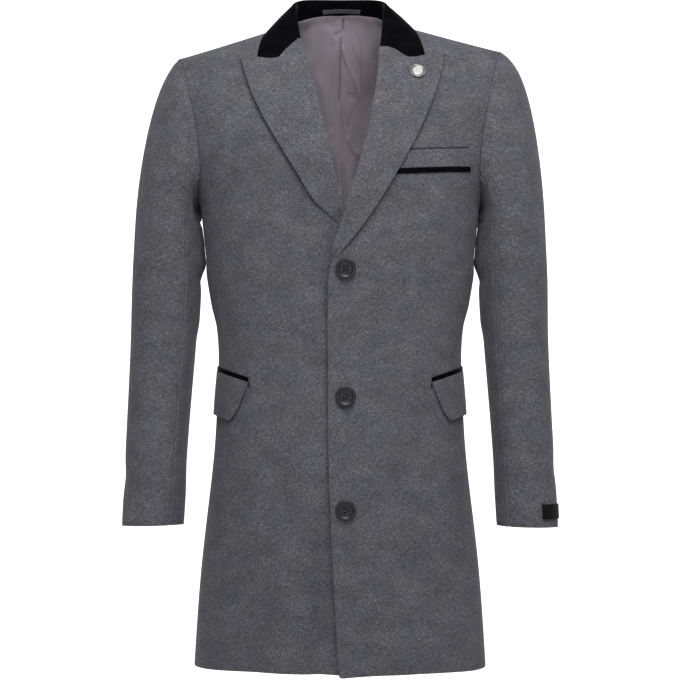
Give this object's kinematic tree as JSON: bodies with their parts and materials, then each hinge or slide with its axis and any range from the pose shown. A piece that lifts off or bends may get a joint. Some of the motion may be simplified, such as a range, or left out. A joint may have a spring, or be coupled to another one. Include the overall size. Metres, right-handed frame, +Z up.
{
  "type": "tweed overcoat",
  "caption": "Single-breasted wool overcoat with peak lapels, black velvet collar, chest welt and slanted flap pockets, buttoned up and hollow as if worn.",
  "frame": {"origin": "midway between the two points where the shoulder seams meet the neck, where the wearer's shoulders carry the coat", "axes": "+Z up along the coat's length, -Y out of the front, +X to the wearer's left"},
  "size_m": [0.6062, 0.3012, 0.94],
  "materials": {
    "tweed": "grey melange wool, brushed and matt",
    "velvet": "black cotton velvet",
    "lining": "mauve grey satin",
    "tape": "black satin tape",
    "button": "black, half gloss",
    "pin": "silvered metal",
    "label": "black woven, bare"
  },
  "bodies": {
    "root": {"front_left": "tweed", "front_right": "tweed", "back_left": "tweed", "back_right": "tweed", "lapel_left": "tweed", "lapel_right": "tweed", "sleeve_top_left": "tweed", "sleeve_under_left": "tweed", "sleeve_top_right": "tweed", "sleeve_under_right": "tweed", "pocket_flap_left": "tweed", "pocket_flap_right": "tweed", "chest_welt": "tweed", "collar": "velvet", "pocket_jet_left": "velvet", "pocket_jet_right": "velvet", "chest_jet": "velvet", "lining_back": "lining", "hanger_loop": "tape", "button_1": "button", "button_2": "button", "button_3": "button", "lapel_pin": "pin", "cuff_label": "label"}
  },
  "joints": []
}
